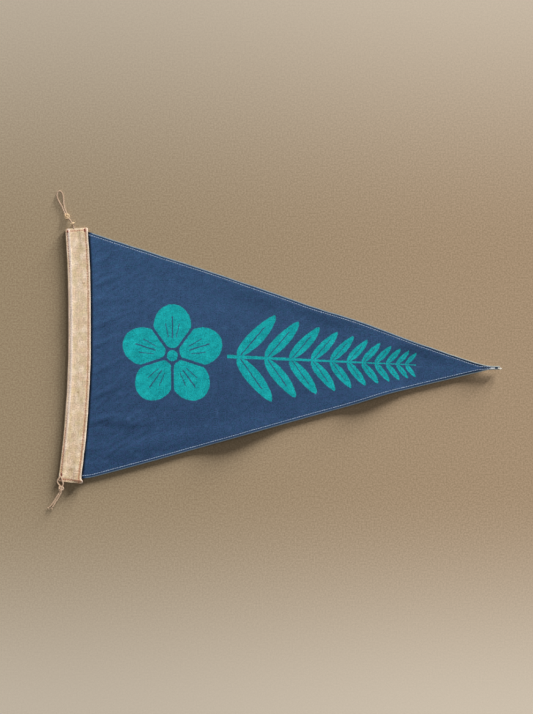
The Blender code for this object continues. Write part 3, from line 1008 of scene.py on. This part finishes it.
def twineMesh(name, path, closed=False):
    # a tube whose outline is the plies' own, turning as it goes
    w = twine
    radius = w["diameter"] / 2 * (w["knotFullness"] if closed else w["fullness"])
    plyRadius, plyOffset = radius * 0.55, radius * 0.45
    count = len(path)
    if closed:
        tangents = np.roll(path, -1, axis=0) - np.roll(path, 1, axis=0)
    else:
        tangents = np.gradient(path, axis=0)
    tangents /= np.linalg.norm(tangents, axis=1)[:, None]
    normals = np.empty_like(path)
    first = np.cross(tangents[0], [0, 0, 1.0])
    if np.linalg.norm(first) < 0.1:
        first = np.cross(tangents[0], [0, 1.0, 0])
    normals[0] = first / np.linalg.norm(first)
    for k in range(1, count):
        carried = normals[k - 1] - tangents[k] * np.dot(normals[k - 1], tangents[k])
        normals[k] = carried / np.linalg.norm(carried)
    steps = np.linalg.norm(np.diff(path, axis=0), axis=1)
    lengths = np.concatenate([[0], np.cumsum(steps)])
    whole = lengths[-1] + (np.linalg.norm(path[0] - path[-1]) if closed else 0)
    turns = whole / w["twist"]
    if closed:
        # the last ring has to meet the first, ply on ply
        carried = normals[-1] - tangents[0] * np.dot(normals[-1], tangents[0])
        carried /= np.linalg.norm(carried)
        slip = math.atan2(np.dot(np.cross(normals[0], carried), tangents[0]), np.dot(normals[0], carried))
        turns = (round(turns * w["plies"]) / w["plies"]) - slip / (2 * math.pi)
    twist = 2 * math.pi * turns * lengths / whole
    binormals = np.cross(tangents, normals)
    around = np.linspace(0, 2 * math.pi, w["sides"], endpoint=False)
    sector = 2 * math.pi / w["plies"]
    off = (around + sector / 2) % sector - sector / 2
    reach = plyOffset * np.cos(off) + np.sqrt(plyRadius**2 - (plyOffset * np.sin(off)) ** 2)
    reach = reach[None, :] * (1 + 0.05 * softNoise(lengths, lengths * 0, 2.3, 51))[:, None]
    if not closed:
        for fromEnd in (lengths, whole - lengths):
            reach = reach * (0.25 + 0.75 * np.sqrt(np.clip(fromEnd / 1.2, 0, 1)))[:, None]
    angle = around[None, :] + twist[:, None]
    ring = normals[:, None, :] * np.cos(angle)[..., None] + binormals[:, None, :] * np.sin(angle)[..., None]
    points = path[:, None, :] + ring * reach[..., None]
    # the loose fibres flatten where the twine lies on the surface
    points[..., 2] = np.maximum(points[..., 2], 0.02)
    valley = np.clip((1 - reach / radius) / 0.36, 0, 1)
    flat = np.stack(np.broadcast_arrays(around * radius, lengths[:, None]), axis=-1)
    mesh = gridMesh(name, points, flat, {"valley": valley}, closeAlong=closed, closeAcross=True)
    if not closed:
        capEnds(mesh, w["sides"], count)
    return mesh


def capEnds(mesh, sides, count):
    # one flat face closes each end
    edit = bmesh.new()
    edit.from_mesh(mesh)
    edit.verts.ensure_lookup_table()
    edit.faces.new([edit.verts[k] for k in range(sides)])
    edit.faces.new([edit.verts[(count - 1) * sides + k] for k in reversed(range(sides))])
    bmesh.ops.recalc_face_normals(edit, faces=edit.faces)
    edit.to_mesh(mesh)
    edit.free()


def strandPiece(name, paths, radius, roundness, taper, finish):
    # thin round strands that narrow along their paths, as one mesh
    curve = bpy.data.curves.new(name, "CURVE")
    curve.dimensions = "3D"
    curve.bevel_depth = radius * mm
    curve.bevel_resolution = roundness
    curve.use_fill_caps = True
    for path in paths:
        spline = curve.splines.new("POLY")
        spline.points.add(len(path) - 1)
        for k, point in enumerate(path):
            spline.points[k].co = (*(point * mm), 1)
            spline.points[k].radius = 1 - taper * k / len(path)
    source = addPiece(name, curve, finish)
    mesh = bpy.data.meshes.new_from_object(source.evaluated_get(bpy.context.evaluated_depsgraph_get()))
    mesh.shade_smooth()
    bpy.data.objects.remove(source)
    return addPiece(name, mesh, finish)


def frayedEnd(name, tip, direction, seed):
    # thin strands that spread from a cut end
    e = looseEnds
    rng = np.random.default_rng(seed)
    direction = np.array(direction, float) / np.linalg.norm(direction)
    sideways = np.cross(direction, [0, 0, 1.0])
    sideways /= np.linalg.norm(sideways)
    strands = []
    for k in range(e["count"]):
        spread = (k / (e["count"] - 1) - 0.5) * e["spread"]
        reach = e["length"] * rng.uniform(0.55, 1.0)
        strandWay = direction * math.cos(spread) + sideways * math.sin(spread)
        lift = rng.uniform(-0.35, 0.25)
        base = np.array(tip) + sideways * spread * 0.9 + np.array([0, 0, rng.uniform(-0.4, 0.4)])
        middle = base + strandWay * reach * 0.5 + sideways * rng.uniform(-0.4, 0.4)
        path = [base - strandWay * 1.2, base, middle, base + strandWay * reach]
        path = smoothPath([p + np.array([0, 0, lift * i / 3]) for i, p in enumerate(path)], 0.5)
        path[:, 2] = np.maximum(path[:, 2], e["lowest"])
        strands.append(path)
    piece = strandPiece(name, strands, e["radius"], 1, 0.6, lowTwineFinish)
    finishPiece(piece, "twine")
    return piece


def trefoilPath(centre, turn):
    turn = math.radians(turn)
    points = []
    for k in range(48):
        a = 2 * math.pi * k / 48
        reach = twine["knotSize"] * (2 + math.cos(3 * a))
        long, short = reach * math.cos(2 * a), reach * math.sin(2 * a) * twine["knotSqueeze"]
        points.append((
            centre[0] + long * math.cos(turn) - short * math.sin(turn),
            centre[1] + long * math.sin(turn) + short * math.cos(turn),
            centre[2] + twine["knotSize"] * math.sin(3 * a),
        ))
    return smoothPath(points, twine["knotStep"], closed=True)


def ringPath(centre, along, radius):
    axis = Vector(along).normalized()
    one = axis.cross(Vector((0, 0, 1))).normalized()
    two = axis.cross(one)
    turns = [2 * math.pi * k / 18 for k in range(18)]
    points = [Vector(centre) + radius * (one * math.cos(a) + two * math.sin(a)) for a in turns]
    return smoothPath(points, twine["knotStep"], closed=True)


def closedTwine(name, path, finish, node):
    piece = addPiece(name, twineMesh(name, path, closed=True), finish)
    finishPiece(piece, "twine", node)
    return piece


def makeCord(name, route, finish, nodes):
    path = smoothPath(route, twine["step"])
    piece = addPiece(name, twineMesh(name, path), finish)
    finishPiece(piece, "twine", *nodes)
    real = np.linalg.norm(np.diff(path, axis=0), axis=1).sum()
    print(name, "runs", round(real, 1), "mm")


topKnot = closedTwine("topKnot", trefoilPath((-350.2, 230.3, 2.4), 116), knotTwineFinish, "tie_top_knot")
beadPath = ringPath((-340.7, 218.0, 3.35), (-2, 4, 0.1), 2.2)
bead = closedTwine("bead", beadPath, knotTwineFinish, "tie_top_bead")
lowKnot = closedTwine("lowKnot", trefoilPath((-360.0, -219.4, 2.4), -118), lowTwineFinish, "tie_low_knot")
leftFray = frayedEnd("leftFray", outerRoute[-1], (-4, -4.3, 0), 5)
rightFray = frayedEnd("rightFray", innerRoute[-1], (-3.1, -5.1, 0), 6)
topNodes, outerNodes = ("tie_top_stem", "tie_top_loop"), ("tie_low_outer", "tie_low_left")
innerNodes = ("tie_low_inner", "tie_low_right")
makeCord("topTwine", topRoute, topTwineFinish, topNodes)
makeCord("outerTwine", outerRoute, lowTwineFinish, outerNodes)
makeCord("innerTwine", innerRoute, lowTwineFinish, innerNodes)


stitchKinds = {  # pitch, stitch length, thread thickness, rise, slant in degrees, wander in degrees
    "hem": (3.9, 3.3, 0.85, 0.42, 0.0, 7.0),
    "rows": (4.0, 2.7, 0.8, 0.40, 14.0, 14.0),
    "tacks": (0.9, 4.2, 0.9, 0.6, 74.0, 16.0),
    "tipTack": (0.62, 1.9, 0.7, 0.45, 88.0, 5.0),
}


def stitchTree():
    # a thread arc on every step of a path, laid on the cloth's own slope
    tree = bpy.data.node_groups.new("stitchRow", "GeometryNodeTree")
    kinds = dict.fromkeys(("Pitch", "Stitch Length", "Thread", "Rise", "Slant", "Wander"), "Float")
    kinds.update({"Seed": "Int", "Material": "Material"})
    tree.interface.new_socket("Geometry", in_out="OUTPUT", socket_type="NodeSocketGeometry")
    for name, kind in {"Geometry": "Geometry", **kinds}.items():
        tree.interface.new_socket(name, in_out="INPUT", socket_type="NodeSocket" + kind)
    given = tree.nodes.new("NodeGroupInput").outputs

    def add(kind, inputs, **settings):
        return addNode(tree, kind, inputs, **settings)

    def reckon(operation, first, second):
        return add("ShaderNodeMath", {0: first, 1: second}, operation=operation).outputs[0]

    def triple(x, y, z):
        return add("ShaderNodeCombineXYZ", {0: x, 1: y, 2: z}).outputs[0]

    toCurve = add("GeometryNodeMeshToCurve", {0: given["Geometry"]})
    steps = {"Curve": toCurve.outputs[0], "Length": given["Pitch"]}
    resample = add("GeometryNodeResampleCurve", steps, mode="LENGTH")

    # one stitch: a bowed thread whose ends sink into the cloth
    sunk = reckon("MULTIPLY", given["Thread"], -0.45)
    arc = add("GeometryNodeCurveQuadraticBezier", {
        "Resolution": 5,
        "Start": triple(reckon("MULTIPLY", given["Stitch Length"], -0.5), 0.0, sunk),
        "Middle": triple(0.0, 0.0, reckon("MULTIPLY", given["Rise"], 2.0)),
        "End": triple(reckon("MULTIPLY", given["Stitch Length"], 0.5), 0.0, sunk),
    })
    radius = reckon("MULTIPLY", given["Thread"], 0.5)
    ring = add("GeometryNodeCurvePrimitiveCircle", {"Resolution": 6, "Radius": radius})
    tube = {"Curve": arc.outputs[0], "Profile Curve": ring.outputs[0], "Fill Caps": True}
    sweep = add("GeometryNodeCurveToMesh", tube)

    # along the path, upright on the cloth, then turned by its slant and a little chance
    tangent = add("GeometryNodeInputTangent", {})
    slope = add("GeometryNodeInputNamedAttribute", {"Name": "clothNormal"}, data_type="FLOAT_VECTOR")
    alongPath = add("FunctionNodeAlignRotationToVector", {"Vector": tangent.outputs[0]}, axis="X")
    facing = {"Rotation": alongPath.outputs[0], "Vector": slope.outputs[0]}
    upright = add("FunctionNodeAlignRotationToVector", facing, axis="Z", pivot_axis="X")
    chance = add("FunctionNodeRandomValue", {"Seed": given["Seed"]}, data_type="FLOAT")
    low, high = [s for s in chance.inputs if s.name in ("Min", "Max") and s.type == "VALUE"][:2]
    tree.links.new(reckon("MULTIPLY", given["Wander"], -1.0), low)
    tree.links.new(given["Wander"], high)
    drawn = next(s for s in chance.outputs if s.type == "VALUE")
    angle = reckon("ADD", given["Slant"], drawn)
    turned = add("FunctionNodeAxisAngleToRotation", {"Axis": (0, 0, 1), "Angle": angle})
    turns = {"Rotation": upright.outputs[0], "Rotate By": turned.outputs[0]}
    local = add("FunctionNodeRotateRotation", turns, rotation_space="LOCAL")

    copies = {"Points": resample.outputs[0], "Instance": sweep.outputs[0], "Rotation": local.outputs[0]}
    place = add("GeometryNodeInstanceOnPoints", copies)
    real = add("GeometryNodeRealizeInstances", {0: place.outputs[0]})
    smooth = add("GeometryNodeSetShadeSmooth", {"Geometry": real.outputs[0]})
    finish = add("GeometryNodeSetMaterial", {"Geometry": smooth.outputs[0], "Material": given["Material"]})
    add("NodeGroupOutput", {0: finish.outputs[0]})
    return tree


stitchRow = stitchTree()


def topSurface(piece):
    mesh = piece.data
    corners = [tuple(v.co) for v in mesh.vertices]
    return BVHTree.FromPolygons(corners, [tuple(p.vertices) for p in mesh.polygons])


fieldTop, headingTop = topSurface(fieldPiece), topSurface(headingPiece)


def dropOnto(surface, x, y):
    hit, normal, _, _ = surface.ray_cast(Vector((x * mm, y * mm, 0.05)), Vector((0, 0, -1)))
    if hit is None:
        return None
    return hit, normal if normal.z > 0 else -normal


def sewRow(name, surface, rows, kind, material, seed):
    # rows are lists of x, y places; each is laid on the surface
    corners, edges, slopes = [], [], []
    for row in rows:
        last = None
        for x, y in row:
            found = dropOnto(surface, x, y)
            if found is None:
                last = None
                continue
            corners.append(found[0])
            slopes.append(found[1])
            if last is not None:
                edges.append((last, len(corners) - 1))
            last = len(corners) - 1
    mesh = bpy.data.meshes.new(name)
    mesh.from_pydata(corners, edges, [])
    normals = mesh.attributes.new("clothNormal", "FLOAT_VECTOR", "POINT")
    normals.data.foreach_set("vector", np.array(slopes, dtype=np.float32).ravel())
    piece = addPiece(name, mesh)
    modifier = piece.modifiers.new("stitches", "NODES")
    modifier.node_group = stitchRow
    pitch, length, thread, rise, slant, wander = stitchKinds[kind]
    values = {
        "Pitch": pitch * mm,
        "Stitch Length": length * mm,
        "Thread": thread * mm,
        "Rise": rise * mm,
        "Slant": math.radians(slant),
        "Wander": math.radians(wander),
        "Seed": seed,
        "Material": material,
    }
    for socket in stitchRow.interface.items_tree:
        if socket.item_type == "SOCKET" and socket.in_out == "INPUT" and socket.name in values:
            modifier[socket.identifier] = values[socket.name]
    makePlain(piece)
    finishPiece(piece, "natural_canvas")
    print(name, len(piece.data.polygons), "faces")


def hemLine(row, sign):
    x = np.linspace(float(headingEdge(sign * 200.0)) + 1.0, 347.0, 340)
    edge = upperEdge(x) if sign > 0 else lowerEdge(x)
    y = edge - sign * (stitchInset(x, row) + 0.25 * softNoise(x, x * 0, 21.0, 41))
    keep = x > headingEdge(y) + 1.6
    return list(zip(x[keep], y[keep]))


def headingRow(across, start, end, count):
    y = np.linspace(start, end, count)
    wobble = 0.3 * softNoise(y, y * 0 + across, 17.0, 42)
    lean = (headingMiddle(y + 1) - headingMiddle(y - 1)) / 2
    side = across - heading["width"] / 2 + wobble
    return list(zip(headingMiddle(y) + side, y - side * lean))


def headingCross(y, fromAcross, toAcross, count=24):
    across = np.linspace(fromAcross, toAcross, count) - heading["width"] / 2
    lean = float(headingMiddle(y + 1) - headingMiddle(y - 1)) / 2
    return [(float(headingMiddle(y)) + a, y - a * lean) for a in across]


sewing = {
    "fadedRow": (-94.0, 138.0),  # where the left row has lost its colour: from y, to y
    "footRowEnd": -96.0,
    "headRowStart": 140.0,
    "tipTack": (348.9, 355.4),  # from x, to x
    "threadEndRadius": 0.55,
}

# the hem's thread, cut a little beyond the tip: x, y, height over the cloth
threadEnds = [
    [(361.0, -20.4, 0.1), (363.6, -20.2, 0.9), (366.0, -20.6, 0.4), (367.6, -22.0, -0.7)],
    [(361.4, -21.2, 0.1), (363.8, -21.6, 0.9), (365.6, -21.9, 0.2), (366.6, -20.6, -0.6)],
]


def makeStitches():
    h = heading
    foot, head = h["foot"] + h["endStitch"], h["head"] - h["endStitch"]
    left, right = h["leftStitch"], h["rightStitch"]
    hems = [hemLine("upperStitch", 1), hemLine("lowerStitch", -1)]
    sewRow("hemStitches", fieldTop, hems, "hem", hemThread, 3)
    around = [
        headingRow(left, foot, sewing["footRowEnd"], 60),
        headingRow(left, sewing["headRowStart"], head, 40),
        headingRow(right, foot, head, 220),
        headingCross(head, left + 1, right - 1),
        headingCross(foot, left + 1, right - 1),
    ]
    sewRow("headingStitches", headingTop, around, "rows", rustThread, 4)
    faded = [headingRow(left, *sewing["fadedRow"], 120)]
    sewRow("fadedStitches", headingTop, faded, "rows", fadedThread, 7)
    tacks = [
        headingRow(left + 0.6, head - 1.6, head + 1.4, 4),
        headingRow(right - 0.4, head - 2.2, head + 1.6, 4),
        headingRow(left + 0.4, foot - 1.0, foot + 9.0, 7),
    ]
    sewRow("cornerTacks", headingTop, tacks, "tacks", tackThread, 5)
    tip = [(x, -20.9 + 0.02 * (x - 347.7)) for x in np.linspace(*sewing["tipTack"], 9)]
    sewRow("tipTack", fieldTop, [tip], "tipTack", whiteThread, 6)


def makeThreadEnd():
    top = dropOnto(fieldTop, 361.5, -20.6)[0].z / mm
    paths = [smoothPath([(x, y, top + z) for x, y, z in route], 0.5) for route in threadEnds]
    piece = strandPiece("tipThreadEnd", paths, sewing["threadEndRadius"], 2, 0.3, creamThread)
    finishPiece(piece, "natural_canvas")


makeStitches()
makeThreadEnd()
finishPiece(fieldPiece, "navy_canvas", "field")
finishPiece(headingPiece, "natural_canvas", "heading")


stage = {
    "floorSize": 60000.0,
    "sand": (linear(194, 167, 137), linear(169, 145, 115)),  # light and dark grains near the flag
    "sandLeft": linear(192, 172, 140),
    "pale": linear(230, 216, 196),  # painted light further off
    "paintedLightAbove": (150.0, 760.0, 0.92),  # painted light above: from y, to y, how strong
    "paintedLightBelow": (200.0, 620.0, 0.92),
    "leftPaintedShade": (-430.0, 420.0, 0.86, 1.01),  # painted shade towards the left: from x, to x, the shade there
    "lightSide": (0.55, 0.835),  # the light comes from the upper right
    "sky": 0.20,
    # strength, degrees above the surface, spread in degrees, turn from that side in degrees
    "lowSun": (9.9, 5.8, 10.0, -10.0),
    "softSun": (6.5, 7.4, 12.0, 8.0),
    "clothKey": (3.9, 29.0, 14.0, 0.0),
    "clothFill": (0.95, 78.0, 60.0, 0.0),
}


def makeFloor():
    half = stage["floorSize"] / 2 * mm
    mesh = bpy.data.meshes.new("floor")
    z = -0.05 * mm
    corners = [(-half, -half, z), (half, -half, z), (half, half, z), (-half, half, z)]
    mesh.from_pydata(corners, [], [(0, 1, 2, 3)])
    material, tree, shader = newMaterial("sandPaper", sheen=0.0)
    x, y, _ = objectPlace(tree)
    grain = noiseOver(tree, x / 2.6, y / 2.6, 2.0, 1.0)
    dim = stage["leftPaintedShade"]
    lightSand = mixColours(tree, x.soften(*dim[:2]), stage["sandLeft"], stage["sand"][0])
    colour = mixColours(tree, grain.soften(0.25, 0.75), stage["sand"][1], lightSand)
    # painted light: the floor turns paler further above and below the flag
    above, below = stage["paintedLightAbove"], stage["paintedLightBelow"]
    paintedLightFarOff = y.soften(*above[:2]) * above[2] + (y * -1.0).soften(*below[:2]) * below[2]
    colour = mixColours(tree, paintedLightFarOff, colour, stage["pale"])
    # painted shade towards the left, with the grain's own tone
    colour = shadeColour(tree, colour, x.soften(*dim[:2]).scale(*dim[2:]) + grain.swing(0.06))
    tree.links.new(colour, shader.inputs["Base Color"])
    shader.inputs["Roughness"].default_value = 0.9
    piece = addPiece("floor", mesh, material)
    return piece


def linkLight(name, kind, pieces):
    collection = bpy.data.collections.new(name + kind)
    for piece in pieces:
        collection.objects.link(piece)
    return collection


def addSun(name, lit, shading=None):
    # this lamp lights these pieces alone; where others are named, only they shade it
    strength, height, spread, turn = stage[name]
    light = bpy.data.lights.new(name, "SUN")
    light.energy = strength
    light.angle = math.radians(spread)
    lamp = bpy.data.objects.new(name, light)
    bpy.context.scene.collection.objects.link(lamp)
    across = math.atan2(stage["lightSide"][1], stage["lightSide"][0]) + math.radians(turn)
    up = math.radians(height)
    towards = Vector((math.cos(across) * math.cos(up), math.sin(across) * math.cos(up), math.sin(up)))
    lamp.rotation_euler = towards.to_track_quat("Z", "Y").to_euler()
    lamp.location = towards * 2
    lamp.light_linking.receiver_collection = linkLight(name, "Lit", lit)
    if shading:
        lamp.light_linking.blocker_collection = linkLight(name, "Shading", shading)


floor = makeFloor()
dressed = [o for o in bpy.context.scene.objects if o.type == "MESH" and o != floor]
addSun("lowSun", [floor], [fieldPiece, headingPiece])
addSun("softSun", [floor])
addSun("clothKey", dressed)
addSun("clothFill", dressed)
world = bpy.data.worlds.new("softRoom")
world.use_nodes = True
world.node_tree.nodes["Background"].inputs["Color"].default_value = (1, 0.99, 0.97, 1)
world.node_tree.nodes["Background"].inputs["Strength"].default_value = stage["sky"]
bpy.context.scene.world = world
bpy.context.scene.view_settings.view_transform = "Standard"
print("floor and lights")
